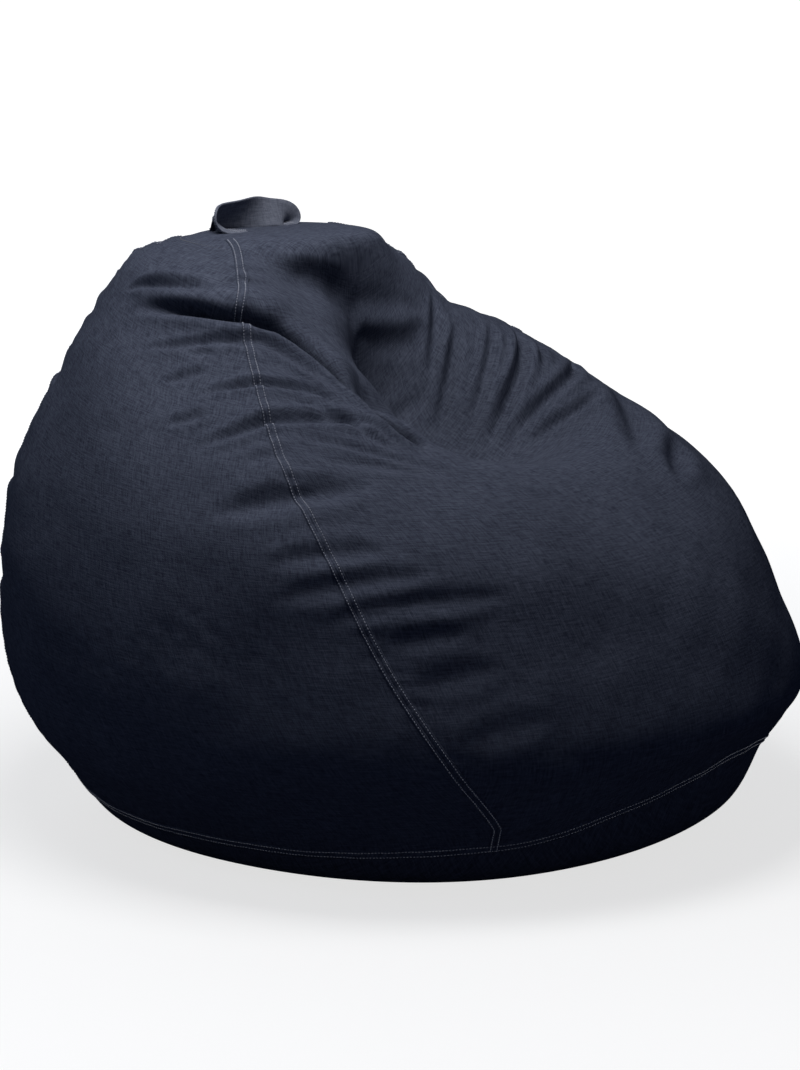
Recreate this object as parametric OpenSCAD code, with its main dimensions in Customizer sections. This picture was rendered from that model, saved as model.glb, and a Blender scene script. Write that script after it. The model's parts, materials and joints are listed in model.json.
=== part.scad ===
// Teardrop bean bag chair: sewn outer cover with a carry strap and a base zip,
// a loose inner liner with a zip of its own, and the bead fill inside it.
// Frame: +Z up, origin on the floor under the middle of the base,
// the sitter faces -Y and the sitter's left is +X. Millimetres.

/* [Bag] */
// Width across the widest part of the bag
bag_w = 930; // [800:10:1150]
// Height of the head above the floor, without the carry strap
bag_h = 664; // [560:2:800]
// How far the middle of the head sits behind the middle of the base
head_back = 160; // [120:5:200]
// Height of the lowest part of the seat above the floor
seat_h = 392; // [360:2:420]

/* [Cover] */
// Thickness of the cover fabric with its backing
fabric_t = 2; // [1:0.5:3]
// Distance between the two rows of a double topstitch
stitch_gauge = 7; // [5:0.5:9]
// Thickness of the topstitch thread
thread_d = 0.8; // [0.6:0.1:1.2]

/* [Carry strap] */
// Width of the strap
strap_w = 38; // [25:1:45]
// Thickness of the folded strap
strap_t = 3; // [2:0.5:4]
// Outside distance between the two ends of the strap
strap_span = 124; // [100:2:130]
// Height of the strap above the crown
strap_rise = 34; // [32:1:50]
// How far the strap sits behind the middle of the crown
strap_back = 48; // [30:2:50]
// How far the strap tips each way
strap_tip = 40; // [20:5:40]

/* [Zips] */
// Width of one zip tape
tape_w = 14.5; // [12:0.5:18]
// Width of the zip chain, both coils together
chain_w = 7; // [5:0.5:9]
// Share of the base circle that the zips take, in degrees
zip_arc = 89; // [60:1:89]
// Length of a slider
slider_len = 18; // [14:1:24]

/* [Liner and fill] */
// Thickness of the liner cloth
liner_t = 1.5; // [1:0.5:2]
// Room between the cover and the liner behind the zips
zip_room = 11; // [10:1:16]

/* [Hidden] */

// Smoothness of everything turned about an axis
$fn = 96;

cover_colour = [0.16, 0.17, 0.22];
thread_colour = [0.42, 0.45, 0.55];
liner_colour = [0.88, 0.88, 0.85];
bead_colour = [0.96, 0.96, 0.95];
tape_colour = [0.10, 0.11, 0.15];
coil_colour = [0.18, 0.19, 0.24];
slider_colour = [0.55, 0.55, 0.58];

// ---- Loops of the bag's skin ----
// Sizes the loops are drawn at; the driving dimensions scale them
drawn_w = 930;
drawn_h = 664;
wide = bag_w / drawn_w;
tall = bag_h / drawn_h;
// How the zip strip leans out from the vertical
zip_lean = 34;
zip_w = 2 * tape_w + chain_w;

// A loop: [set back, azimuth of the front seam, of the back seam,
// radii and heights at azimuth 0 (front), 45, 90, 135 and 180 (back)]
base_loop = [0, 45, 135, [425, 412, 385, 385, 385], [108, 58, 45, 45, 45]];
upper_loops = [
    [0, 52, 138, [470, 462, 455, 455, 455], [180, 165, 160, 160, 160]],
    [5, 60, 143, [428, 438, 455, 465, 465], [285, 265, 270, 285, 300]],
    [25, 66, 148, [380, 408, 425, 425, 420], [362, 372, 385, 410, 425]],
    [70, 70, 150, [300, 348, 355, 335, 325], [425, 446, 485, 525, 535]],
    [115, 73, 150, [190, 255, 265, 255, 235], [seat_h / tall, 508, 560, 600, 600]],
    [150, 76, 150, [78, 150, 200, 190, 168], [480, 570, 625, 645, 640]],
    [160, 80, 150, [96, 116, 120, 125, 110], [642, 655, 657, 656, 652]]
];
head_setback_drawn = 160;

function scaled(loop, reach) = [
    loop[0] * head_back / head_setback_drawn, loop[1], loop[2],
    [for (r = loop[3]) r * reach], [for (z = loop[4]) z * tall]
];
seam_loop = scaled(base_loop, wide);
// The loop above the zip strip lies one strip width up the leaning wall
strip_loop = [
    seam_loop[0], seam_loop[1], seam_loop[2],
    [for (r = seam_loop[3]) r + zip_w * sin(zip_lean)],
    [for (z = seam_loop[4]) z + zip_w * cos(zip_lean)]
];
loops = concat([seam_loop, strip_loop], [for (l = upper_loops) scaled(l, wide)]);

// Curve through p1 and p2 with its neighbours p0 and p3
function curve(p0, p1, p2, p3, t) =
    0.5 * (2 * p1 + (p2 - p0) * t + (2 * p0 - 5 * p1 + 4 * p2 - p3) * t * t
        + (3 * p1 - p0 - 3 * p2 + p3) * t * t * t);

// A value given at five azimuths, read at any azimuth; the bag is symmetric
function fold(keys, i) = let (k = (i + 16) % 8) keys[k > 4 ? 8 - k : k];
function around(keys, azimuth) =
    let (a = (azimuth + 720) % 360, i = floor(a / 45), t = a / 45 - i)
    curve(fold(keys, i - 1), fold(keys, i), fold(keys, i + 1), fold(keys, i + 2), t);

// Columns of the skin, bunched so that the seams lie on columns
columns = 48;
quarter = 45;
function half_azimuth(u, front, back) =
    u <= quarter ? front * u / quarter
    : u <= 3 * quarter ? front + (back - front) * (u - quarter) / (2 * quarter)
    : back + (180 - back) * (u - 3 * quarter) / quarter;
function column_azimuth(loop, column) =
    let (u = 360 * ((column + 2 * columns) % columns) / columns)
    u > 180 ? -half_azimuth(360 - u, loop[1], loop[2]) : half_azimuth(u, loop[1], loop[2]);
function loop_point(loop, column) =
    let (a = column_azimuth(loop, column), r = around(loop[3], a))
    [r * sin(a), loop[0] - r * cos(a), around(loop[4], a)];
function loop_row(loop) = [for (c = [0:columns - 1]) loop_point(loop, c)];

// ---- Rows of the skin, from the floor up ----
// The flat of the base, as a share of the base seam's radius
base_flat = 0.75;
// The turn-up of the base panel between the flat and the seam
turn_reach = 0.92;
turn_rise = 0.3;
// The flat of the crown, as a share of the crown seam's radius
crown_flat = 0.84;
rows_per_loop = 2;

seam_row = loop_row(loops[0]);
loop_rows = [for (l = loops) loop_row(l)];
last = len(loops) - 1;
crown_row = loop_rows[last];
crown_setback = loops[last][0];
flat_row = [for (p = seam_row) [p[0] * base_flat, p[1] * base_flat, 0]];
turn_row = [for (p = seam_row) [p[0] * turn_reach, p[1] * turn_reach, p[2] * turn_rise]];
crown_flat_row = [
    for (p = crown_row)
        [p[0] * crown_flat, crown_setback + (p[1] - crown_setback) * crown_flat, bag_h]
];
function above(i) = i > last ? crown_flat_row : loop_rows[i];
wall_rows = [
    for (i = [1:last - 1]) for (s = [1:rows_per_loop])
        [
            for (c = [0:columns - 1])
                curve(above(i - 1)[c], above(i)[c], above(i + 1)[c], above(i + 2)[c],
                    s / rows_per_loop)
        ]
];
skin = concat([flat_row, turn_row, seam_row, loop_rows[1]], wall_rows, [crown_flat_row]);
FLAT = 0;
SEAM = 2;
STRIP = 3;
CROWN = len(skin) - 2;
CROWN_FLAT = len(skin) - 1;

// Columns of the panel seams
FRONT_LEFT = columns / 8;
BACK_LEFT = 3 * columns / 8;
BACK_RIGHT = 5 * columns / 8;
FRONT_RIGHT = 7 * columns / 8;

function unit(v) = v / norm(v);
function skin_point(row, column) = skin[row][(column + columns) % columns];
function skin_normal(row, column) =
    row == FLAT ? [0, 0, -1]
    : row == CROWN_FLAT ? [0, 0, 1]
    : row == SEAM || row == STRIP
        // level cuts here, so the cloth's thickness is set off along the radius
        ? unit([skin_point(row, column)[0], skin_point(row, column)[1], 0]) / cos(zip_lean)
    : unit(cross(skin_point(row, column + 1) - skin_point(row, column - 1),
        skin_point(row + 1, column) - skin_point(row - 1, column)));
skin_normals = [for (r = [0:CROWN_FLAT]) [for (c = [0:columns - 1]) skin_normal(r, c)]];

// The point at a depth below the skin
function at(row, column, depth) =
    skin_point(row, column) - depth * skin_normals[row][(column + columns) % columns];

// ---- Layers: depth of each surface below the skin, row by row ----
air = 0.3; // between cloth layers that lie on each other
bead_air = 1; // between the liner and the fill
slider_room = 4.2; // between the liner and the fill, behind the liner zip
function near_zip(row) = row == SEAM || row == STRIP ? 1 : row == SEAM - 1 ? 0.5 : 0;
function cover_out(row) = 0;
function cover_in(row) = fabric_t;
function liner_out(row) = fabric_t + air + (zip_room - fabric_t - air) * near_zip(row);
function liner_in(row) = liner_out(row) + liner_t;
function fill_out(row) = liner_in(row) + bead_air + (slider_room - bead_air) * near_zip(row);
function depth_of(layer, row) =
    layer == "cover_out" ? cover_out(row)
    : layer == "cover_in" ? cover_in(row)
    : layer == "liner_out" ? liner_out(row)
    : layer == "liner_in" ? liner_in(row)
    : fill_out(row);
function layer_points(rows, cols, layer) =
    [for (r = rows) for (c = cols) at(r, c, depth_of(layer, r))];

// Two triangles of the quad of grid points a, b (lower) and c, d (upper)
function two(a, b, c, d, turned) =
    turned ? [[a, c, b], [b, c, d]] : [[a, b, c], [b, d, c]];

// A sheet between two layers, over some rows and some columns
module sheet(first_row, last_row, first_col, last_col, outer, inner) {
    nr = last_row - first_row + 1;
    nc = last_col - first_col + 1;
    rows = [first_row:last_row];
    cols = [first_col:last_col];
    n = nr * nc;
    points = concat(layer_points(rows, cols, outer), layer_points(rows, cols, inner));
    faces = concat(
        [
            for (i = [0:nr - 2]) for (j = [0:nc - 2]) for (side = [0, 1])
                let (a = side * n + i * nc + j)
                each two(a, a + 1, a + nc, a + nc + 1, side == 0)
        ],
        [
            for (j = [0:nc - 2]) for (end = [0, 1])
                let (a = end * (nr - 1) * nc + j)
                each end == 0
                    ? [[a, a + 1, n + a + 1], [a, n + a + 1, n + a]]
                    : [[a, n + a + 1, a + 1], [a, n + a, n + a + 1]]
        ],
        [
            for (i = [0:nr - 2]) for (end = [0, 1])
                let (a = i * nc + end * (nc - 1))
                each end == 0
                    ? [[a, n + a + nc, a + nc], [a, n + a, n + a + nc]]
                    : [[a, a + nc, n + a + nc], [a, n + a + nc, n + a]]
        ]
    );
    polyhedron(points, faces, convexity = 6);
}

// A round sheet that closes the bag below or above: rows from its seam to its flat
module round_sheet(rows, height, setback, up, outer, inner) {
    nr = len(rows);
    n = nr * columns;
    cols = [0:columns - 1];
    flat = rows[nr - 1];
    sign = up ? -1 : 1;
    points = concat(
        layer_points(rows, cols, outer), layer_points(rows, cols, inner),
        [[0, setback, height + sign * depth_of(outer, flat)],
            [0, setback, height + sign * depth_of(inner, flat)]]
    );
    faces = concat(
        [
            for (i = [0:nr - 2]) for (j = cols) for (side = [0, 1])
                let (k = (j + 1) % columns, b = side * n + i * columns)
                each two(b + j, b + k, b + columns + j, b + columns + k, (side == 0) == up)
        ],
        [
            for (j = cols) for (side = [0, 1])
                let (k = (j + 1) % columns, b = side * n + (nr - 1) * columns)
                (side == 0) == up ? [b + j, 2 * n + side, b + k] : [b + k, 2 * n + side, b + j]
        ],
        [
            for (j = cols) let (k = (j + 1) % columns)
                each up
                    ? [[j, k, n + k], [j, n + k, n + j]]
                    : [[j, n + k, k], [j, n + j, n + k]]
        ]
    );
    polyhedron(points, faces, convexity = 6);
}

// ---- Cover ----
module front_panel() {
    color(cover_colour)
        sheet(SEAM, CROWN, -FRONT_LEFT, FRONT_LEFT, "cover_out", "cover_in");
}

module left_panel() {
    color(cover_colour) sheet(SEAM, CROWN, FRONT_LEFT, BACK_LEFT, "cover_out", "cover_in");
}

module right_panel() {
    color(cover_colour) sheet(SEAM, CROWN, BACK_RIGHT, FRONT_RIGHT, "cover_out", "cover_in");
}

module back_panel() {
    color(cover_colour) sheet(STRIP, CROWN, BACK_LEFT, BACK_RIGHT, "cover_out", "cover_in");
}

module crown_panel() {
    color(cover_colour)
        round_sheet([CROWN, CROWN_FLAT], bag_h, crown_setback, true, "cover_out", "cover_in");
}

module base_panel() {
    color(cover_colour)
        round_sheet([SEAM, SEAM - 1, FLAT], 0, 0, false, "cover_out", "cover_in");
}

// ---- Topstitching ----
// A thread through stations [point, normal, across], a four-sided tube
module thread(stations) {
    half = thread_d / 2;
    n = len(stations);
    points = [
        for (s = stations)
            each [s[0] + half * s[1], s[0] + half * s[2], s[0] - half * s[1], s[0] - half * s[2]]
    ];
    faces = concat(
        [[0, 1, 2], [0, 2, 3]],
        [
            for (i = [0:n - 2]) for (k = [0:3])
                let (a = 4 * i + k, b = 4 * i + (k + 1) % 4)
                each [[a, a + 4, b], [b, a + 4, b + 4]]
        ],
        [[4 * n - 1, 4 * n - 2, 4 * n - 3], [4 * n - 1, 4 * n - 3, 4 * n - 4]]
    );
    polyhedron(points, faces, convexity = 4);
}

thread_lift = thread_d / 2 + 2 * air;

// A station beside a seam point, towards another point of the skin
function station(row, column, to_row, to_column, shift) =
    let (
        p = skin_point(row, column),
        side = unit(skin_point(to_row, to_column) - p),
        tilted = unit(skin_normals[row][(column + columns) % columns]),
        n = unit(tilted - (tilted * side) * side)
    )
    [p + shift * side + thread_lift * n, n, unit(cross(n, cross(side, n)))];

// Two rows along the seam between two panels, one on each side of it
module seam_stitch(column, first_row) {
    color(thread_colour) {
        thread([
            for (r = [first_row + 1:CROWN - 1])
                station(r, column, r, column + 1, stitch_gauge / 2)
        ]);
        mirror_thread([
            for (r = [first_row + 1:CROWN - 1])
                station(r, column, r, column - 1, stitch_gauge / 2)
        ]);
    }
}

// The same tube for a row whose across direction points the other way
module mirror_thread(stations) {
    thread([for (s = stations) [s[0], s[1], -s[2]]]);
}

// A row round the bag, beside a row of the skin
module round_stitch(row, towards, first_col, last_col, shift) {
    turned = towards > row ? 1 : -1;
    stations = [for (c = [first_col:last_col]) station(row, c, towards, c, shift)];
    thread([for (s = stations) [s[0], s[1], -turned * s[2]]]);
}

// The hems that stop a round row short of a seam, in columns
hem = 1;

// From a round seam to its first row
edge = 2;

module topstitch_crown() {
    color(thread_colour)
        for (shift = [edge, edge + stitch_gauge])
            round_stitch(CROWN, CROWN_FLAT, hem, columns - hem, shift);
}

module topstitch_base() {
    color(thread_colour) {
        for (shift = [edge, edge + stitch_gauge])
            round_stitch(SEAM, STRIP, -BACK_LEFT + hem, BACK_LEFT - hem, shift);
        round_stitch(STRIP, STRIP + 1, BACK_LEFT + hem, BACK_RIGHT - hem, edge);
        round_stitch(SEAM, SEAM - 1, BACK_LEFT + hem, BACK_RIGHT - hem, edge);
    }
}

// ---- Zips ----
// A zip lies on a cone about the bag's upright axis. Its sections are drawn
// with x along the cone, from the base seam up, and y out of the cloth.
zip_radius = seam_loop[3][4];
zip_height = seam_loop[4][4];
zip_mid = 180;
coil_gap = 1.6; // the slot that the slider's post runs in
tape_t = 1;
tape_depth = 1.5; // tape's inner face below the cloth's face
coil_out = 0.3; // the coils' reach above and below the cloth's face
coil_in = 2.3;
run = 0.3; // clearance round the slider
plate_t = 1.2;
slider_w = chain_w + 4;
post_w = coil_gap - 2 * run;

// The section's children, swept over an arc of the zip's circle
module along_zip(depth, from_azimuth, arc) {
    rotate([0, 0, from_azimuth - 90])
        rotate_extrude(angle = arc)
            translate([zip_radius - depth / cos(zip_lean), zip_height])
                rotate(90 - zip_lean)
                    children();
}

// A tape's section: its edge at the cloth is cut level, like the cloth
module tape_section(lower) {
    slope = tan(zip_lean);
    start = lower ? 0 : zip_w - tape_w;
    outer = tape_depth - tape_t;
    polygon([
        [start + (lower ? outer * slope : 0), -outer],
        [start + tape_w + (lower ? 0 : outer * slope), -outer],
        [start + tape_w + (lower ? 0 : tape_depth * slope), -tape_depth],
        [start + (lower ? tape_depth * slope : 0), -tape_depth]
    ]);
}

module coil_section(lower) {
    width = (chain_w - coil_gap) / 2;
    start = tape_w + (lower ? 0 : chain_w - width);
    translate([start, -coil_in]) square([width, coil_in + coil_out]);
}

module slider_section() {
    middle = zip_w / 2;
    plates = [coil_out + run, -coil_in - run - plate_t];
    for (y = plates) translate([middle - slider_w / 2, y]) square([slider_w, plate_t]);
    translate([middle - post_w / 2, plates[1]]) square([post_w, plates[0] - plates[1] + plate_t]);
}

stop_arc = 0.6;
zip_start = zip_mid - zip_arc / 2;
slider_arc = slider_len / zip_radius * 180 / PI;
slider_start = zip_start + stop_arc + 0.4;

module zip_tape(depth, lower) {
    color(tape_colour) along_zip(depth, zip_start, zip_arc) tape_section(lower);
}

module zip_coil(depth, lower) {
    color(coil_colour) along_zip(depth, zip_start, zip_arc) coil_section(lower);
}

// A stop at each end clamps both coils from outside the cloth
module zip_end_stops(depth) {
    stop_t = 0.9;
    lift = coil_out + 0.1;
    color(slider_colour)
        for (azimuth = [zip_start, zip_start + zip_arc - stop_arc])
            along_zip(depth, azimuth, stop_arc)
                translate([zip_w / 2 - chain_w / 2, lift]) square([chain_w, stop_t]);
}

// Slider without a pull tab, so that a child can't open it; only its lug shows
module slider(depth) {
    lug_arc = slider_arc / 3;
    lug_w = 3;
    lug_t = 1.2;
    color(slider_colour) {
        along_zip(depth, slider_start, slider_arc) slider_section();
        along_zip(depth, slider_start + slider_arc / 3, lug_arc)
            translate([zip_w / 2 - lug_w / 2, coil_out + run])
                square([lug_w, plate_t + lug_t]);
    }
}

// ---- Carry strap ----
strap_y = crown_setback + strap_back;
leg_h = strap_rise - 10; // the straight part of each end
tip_room = 0.4; // between a tipped strap and the crown
leg_start = (tip_room + strap_w / 2 * sin(strap_tip)) / cos(strap_tip);
tab_r = leg_h - 2; // rounded top of a root tab, clear of the strap's inside
arch_steps = 20;

// Outline of the arch inside or outside the strap, from one end to the other
function arch(inset) = [
    for (i = [0:arch_steps])
        let (a = 180 * i / arch_steps)
        [(strap_span / 2 - inset) * cos(a), leg_h + (strap_rise - leg_h - inset) * sin(a)]
];

module carry_strap() {
    outside = arch(0);
    inside = arch(strap_t);
    color(cover_colour)
        translate([0, strap_y + strap_w / 2, bag_h])
            rotate([90, 0, 0])
                linear_extrude(strap_w)
                    polygon(concat(
                        [[strap_span / 2, leg_start]], outside, [[-strap_span / 2, leg_start]],
                        [[strap_t - strap_span / 2, leg_start]],
                        [for (i = [arch_steps:-1:0]) inside[i]],
                        [[strap_span / 2 - strap_t, leg_start]]
                    ));
}

// Inner face of a root tab, measured from the middle of the strap
tab_inner = strap_span / 2 - 2 * strap_t - air;

// The sewn ends of the strap, standing up out of the crown inside its legs
module strap_root_tabs() {
    color(cover_colour)
        for (side = [0, 1])
            translate([0, strap_y, bag_h])
                mirror([side, 0, 0])
                    translate([tab_inner, 0, 0])
                        rotate([90, 0, 90])
                            linear_extrude(strap_t)
                                intersection() {
                                    circle(tab_r);
                                    translate([-strap_w / 2, 0]) square([strap_w, tab_r]);
                                }
}

// Dense bars of stitches across the foot of each tab
module strap_bartacks() {
    bar_w = strap_w - 10;
    bar_h = 1.6;
    color(thread_colour)
        for (side = [0, 1]) for (height = [2, 8])
            translate([0, strap_y, bag_h + height])
                mirror([side, 0, 0])
                    translate([tab_inner - thread_d, -bar_w / 2, 0])
                        cube([thread_d, bar_w, bar_h]);
}

// ---- Liner and fill ----
module liner_front() {
    color(liner_colour) sheet(SEAM, CROWN, -BACK_LEFT, BACK_LEFT, "liner_out", "liner_in");
}

module liner_back() {
    color(liner_colour) sheet(STRIP, CROWN, BACK_LEFT, BACK_RIGHT, "liner_out", "liner_in");
}

module liner_crown() {
    color(liner_colour)
        round_sheet([CROWN, CROWN_FLAT], bag_h, crown_setback, true, "liner_out", "liner_in");
}

module liner_base() {
    color(liner_colour)
        round_sheet([SEAM, SEAM - 1, FLAT], 0, 0, false, "liner_out", "liner_in");
}

// All the beads as one body: the skin's rows, closed at the floor and the crown
module bead_fill() {
    rows = [FLAT:CROWN_FLAT];
    cols = [0:columns - 1];
    n = (CROWN_FLAT + 1) * columns;
    top = n - columns;
    points = concat(
        layer_points(rows, cols, "fill_out"),
        [[0, 0, fill_out(FLAT)], [0, crown_setback, bag_h - fill_out(CROWN_FLAT)]]
    );
    faces = concat(
        [
            for (i = [0:CROWN_FLAT - 1]) for (j = cols)
                let (k = (j + 1) % columns, b = i * columns)
                each two(b + j, b + k, b + columns + j, b + columns + k, true)
        ],
        [for (j = cols) [(j + 1) % columns, n, j]],
        [for (j = cols) [top + j, n + 1, top + (j + 1) % columns]]
    );
    color(bead_colour) polyhedron(points, faces, convexity = 6);
}

front_panel();
back_panel();
left_panel();
right_panel();
crown_panel();
base_panel();
seam_stitch(FRONT_LEFT, SEAM);  // topstitch_front_left
seam_stitch(FRONT_RIGHT, SEAM);  // topstitch_front_right
seam_stitch(BACK_LEFT, STRIP);  // topstitch_back_left
seam_stitch(BACK_RIGHT, STRIP);  // topstitch_back_right
topstitch_crown();
topstitch_base();
zip_tape(0, true);  // zip_tape_lower
zip_tape(0, false);  // zip_tape_upper
zip_coil(0, true);  // zip_coil_lower
zip_coil(0, false);  // zip_coil_upper
zip_end_stops(0);  // zip_stops
slider(0);  // zip_slider
carry_strap();
strap_root_tabs();
strap_bartacks();
liner_front();
liner_back();
liner_crown();
liner_base();
zip_tape(zip_room, true);  // liner_zip_tape_lower
zip_tape(zip_room, false);  // liner_zip_tape_upper
zip_coil(zip_room, true);  // liner_zip_coil_lower
zip_coil(zip_room, false);  // liner_zip_coil_upper
zip_end_stops(zip_room);  // liner_zip_stops
slider(zip_room);  // liner_zip_slider
bead_fill();
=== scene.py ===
"""Teardrop bean bag chair: sewn panels with their folds, topstitching, zips, carry strap,
liner and beads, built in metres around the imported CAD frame."""
import json
import math

import bpy
import numpy as np
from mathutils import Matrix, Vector

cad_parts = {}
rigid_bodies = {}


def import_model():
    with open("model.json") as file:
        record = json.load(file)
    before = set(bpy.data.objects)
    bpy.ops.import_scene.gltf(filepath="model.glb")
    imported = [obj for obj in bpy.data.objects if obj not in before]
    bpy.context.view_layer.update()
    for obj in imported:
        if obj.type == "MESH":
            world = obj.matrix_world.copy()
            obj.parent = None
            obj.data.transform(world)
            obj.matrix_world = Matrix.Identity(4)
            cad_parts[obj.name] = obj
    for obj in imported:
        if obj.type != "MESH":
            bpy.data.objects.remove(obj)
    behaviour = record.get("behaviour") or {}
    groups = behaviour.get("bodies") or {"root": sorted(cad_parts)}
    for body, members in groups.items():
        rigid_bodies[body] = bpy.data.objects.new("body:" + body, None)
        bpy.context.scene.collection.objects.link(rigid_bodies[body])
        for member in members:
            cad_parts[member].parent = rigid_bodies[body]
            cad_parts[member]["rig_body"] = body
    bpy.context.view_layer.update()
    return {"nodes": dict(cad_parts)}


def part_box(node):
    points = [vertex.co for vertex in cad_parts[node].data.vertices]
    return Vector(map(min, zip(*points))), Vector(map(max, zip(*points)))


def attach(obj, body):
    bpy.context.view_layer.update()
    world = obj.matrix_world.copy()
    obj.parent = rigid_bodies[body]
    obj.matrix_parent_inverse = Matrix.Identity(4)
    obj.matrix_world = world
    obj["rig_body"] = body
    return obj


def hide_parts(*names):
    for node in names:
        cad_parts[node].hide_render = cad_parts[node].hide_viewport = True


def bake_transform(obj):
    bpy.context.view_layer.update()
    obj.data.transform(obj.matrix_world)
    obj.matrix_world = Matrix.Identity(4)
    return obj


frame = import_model()

# ---- Sizes, in metres ----
MM = 0.001
BAG_H = 0.664                # crown, without the carry strap
FABRIC_T = 0.002
LINER_DEPTH = 0.0046         # liner's outer face below the cover's
LINER_T = 0.0015
FILL_DEPTH = 0.0078
ZIP_LEAN = math.radians(34)  # the zip strip leans out from the vertical
ZIP_W = 0.036
COLUMNS = 640                # grid of the skin, round the bag
ROWS_PER_LEVEL = 32
FLAT_LEVEL, SEAM_LEVEL, STRIP_LEVEL, CROWN_LEVEL, TOP_LEVEL = -2, 0, 1, 8, 10
NEAR_SEAM, FAR_SEAM, BACK_SEAMS = 315, 45, (135, 225)

# ---- The skin: loops round the bag, as in the CAD ----
# [set back, azimuth of the front seam, of the back seam, radii, heights], in millimetres,
# the last two at azimuths 0 (front), 45, 90, 135 and 180 (back)
BASE_LOOP = [0, 45, 135, [425, 412, 385, 385, 385], [108, 58, 45, 45, 45]]
UPPER_LOOPS = [
    [0, 52, 138, [470, 462, 455, 455, 455], [180, 165, 160, 160, 160]],
    [5, 60, 143, [428, 438, 455, 465, 465], [285, 265, 270, 285, 300]],
    [25, 66, 148, [380, 408, 425, 425, 420], [362, 372, 385, 410, 425]],
    [70, 70, 150, [300, 348, 355, 335, 325], [425, 446, 485, 525, 535]],
    [115, 73, 150, [190, 255, 265, 255, 235], [392, 508, 560, 600, 600]],
    [150, 76, 150, [78, 150, 200, 190, 168], [480, 570, 625, 645, 640]],
    [160, 80, 150, [96, 116, 120, 125, 110], [642, 655, 657, 656, 652]],
]
BASE_FLAT, TURN_REACH, TURN_RISE, CROWN_FLAT, CROWN_INNER = 0.75, 0.92, 0.3, 0.84, 0.5
CROWN_Y = UPPER_LOOPS[-1][0] * MM


def curve(p0, p1, p2, p3, t):
    """Curve through p1 and p2 with its neighbours p0 and p3."""
    return 0.5 * (2 * p1 + (p2 - p0) * t + (2 * p0 - 5 * p1 + 4 * p2 - p3) * t * t
                  + (3 * p1 - p0 - 3 * p2 + p3) * t ** 3)


def around(keys, azimuth):
    """Values given at five azimuths, read at any azimuth; the bag is symmetric."""
    ring = np.array(keys + keys[3:0:-1], float)
    i = np.floor(azimuth / 45).astype(int)
    near = [ring[(i + k) % 8] for k in (-1, 0, 1, 2)]
    return curve(*near, azimuth / 45 - i)


def ring_points(loop, u):
    """A loop's points at the columns u, in degrees; seams are at 45, 135, 225 and 315."""
    half = np.where(u > 180, 360 - u, u)
    azimuth = np.interp(half, [0, 45, 135, 180], [0, loop[1], loop[2], 180])
    azimuth = np.where(u > 180, -azimuth, azimuth) % 360
    r, a = around(loop[3], azimuth), np.radians(azimuth)
    return np.stack([r * np.sin(a), loop[0] - r * np.cos(a), around(loop[4], azimuth)], -1)


def key_rings(u):
    """The rings that the skin passes through, from inside the flat of the base to the top."""
    reach, rise = ZIP_W / MM * math.sin(ZIP_LEAN), ZIP_W / MM * math.cos(ZIP_LEAN)
    strip = BASE_LOOP[:3] + [[r + reach for r in BASE_LOOP[3]], [z + rise for z in BASE_LOOP[4]]]
    rings = [ring_points(loop, u) for loop in [BASE_LOOP, strip] + UPPER_LOOPS]
    seam, crown = rings[0], rings[-1]
    inner, flat = seam * (BASE_FLAT - 0.12, BASE_FLAT - 0.12, 0), seam * (BASE_FLAT, BASE_FLAT, 0)
    turn = seam * (TURN_REACH, TURN_REACH, TURN_RISE)
    middle = np.array([0, CROWN_Y / MM, 0])
    tops = []
    for share in (CROWN_FLAT, CROWN_INNER):
        top = middle + (crown - middle) * (share, share, 0)
        top[:, 2] = BAG_H / MM
        tops.append(top)
    return np.array([inner, flat, turn] + rings + tops + tops[1:]) * MM


def smooth_skin(u, levels):
    """Points of the undented skin on a grid of levels (rows) and columns."""
    rings = key_rings(u)
    rows = []
    for level in levels:
        i = min(max(int(math.floor(level)), FLAT_LEVEL), TOP_LEVEL - 1)
        t = level - i
        k = i - FLAT_LEVEL + 1
        if i == SEAM_LEVEL or i >= CROWN_LEVEL:
            rows.append(rings[k] + (rings[k + 1] - rings[k]) * t)
        else:
            rows.append(curve(rings[k - 1], rings[k], rings[k + 1], rings[k + 2], t))
    return np.array(rows)


def grid_normals(p):
    """Outward unit normals of a grid that closes round its columns."""
    across = np.roll(p, -1, 1) - np.roll(p, 1, 1)
    up = np.gradient(p, axis=0)
    n = np.cross(across, up)
    return n / np.maximum(np.linalg.norm(n, axis=-1, keepdims=True), 1e-12)


U = np.arange(COLUMNS) * 360 / COLUMNS
LEVELS = np.linspace(FLAT_LEVEL, TOP_LEVEL, (TOP_LEVEL - FLAT_LEVEL) * ROWS_PER_LEVEL + 1)


def blur(a, times, columns=True):
    """Smooth a grid along its rows, and round its columns."""
    for _ in range(times):
        if columns:
            a = (np.roll(a, 1, 1) + 2 * a + np.roll(a, -1, 1)) / 4
        inner = (a[:-2] + 2 * a[1:-1] + a[2:]) / 4
        a = np.concatenate([a[:1], inner, a[-1:]])
    return a


def quiet(level, low, high):
    """0 at low, 1 at high, smooth between."""
    t = np.clip((level - low) / (high - low), 0, 1)
    return t * t * (3 - 2 * t)


def rounded_skin():
    """The skin with the corner round its crown softened, as stuffed cloth is."""
    skin = smooth_skin(U, LEVELS)
    high = quiet(LEVELS, 6.5, 7.6)[:, None, None]
    return skin + (blur(skin, 420, False) - skin) * high


BASE = rounded_skin()


NORMALS = blur(grid_normals(BASE), 6)
NORMALS /= np.linalg.norm(NORMALS, axis=-1, keepdims=True)
NORMALS[0] = (0, 0, -1)
NORMALS[-1] = (0, 0, 1)


def row_of(level):
    return (np.asarray(level, float) - FLAT_LEVEL) * ROWS_PER_LEVEL


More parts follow.
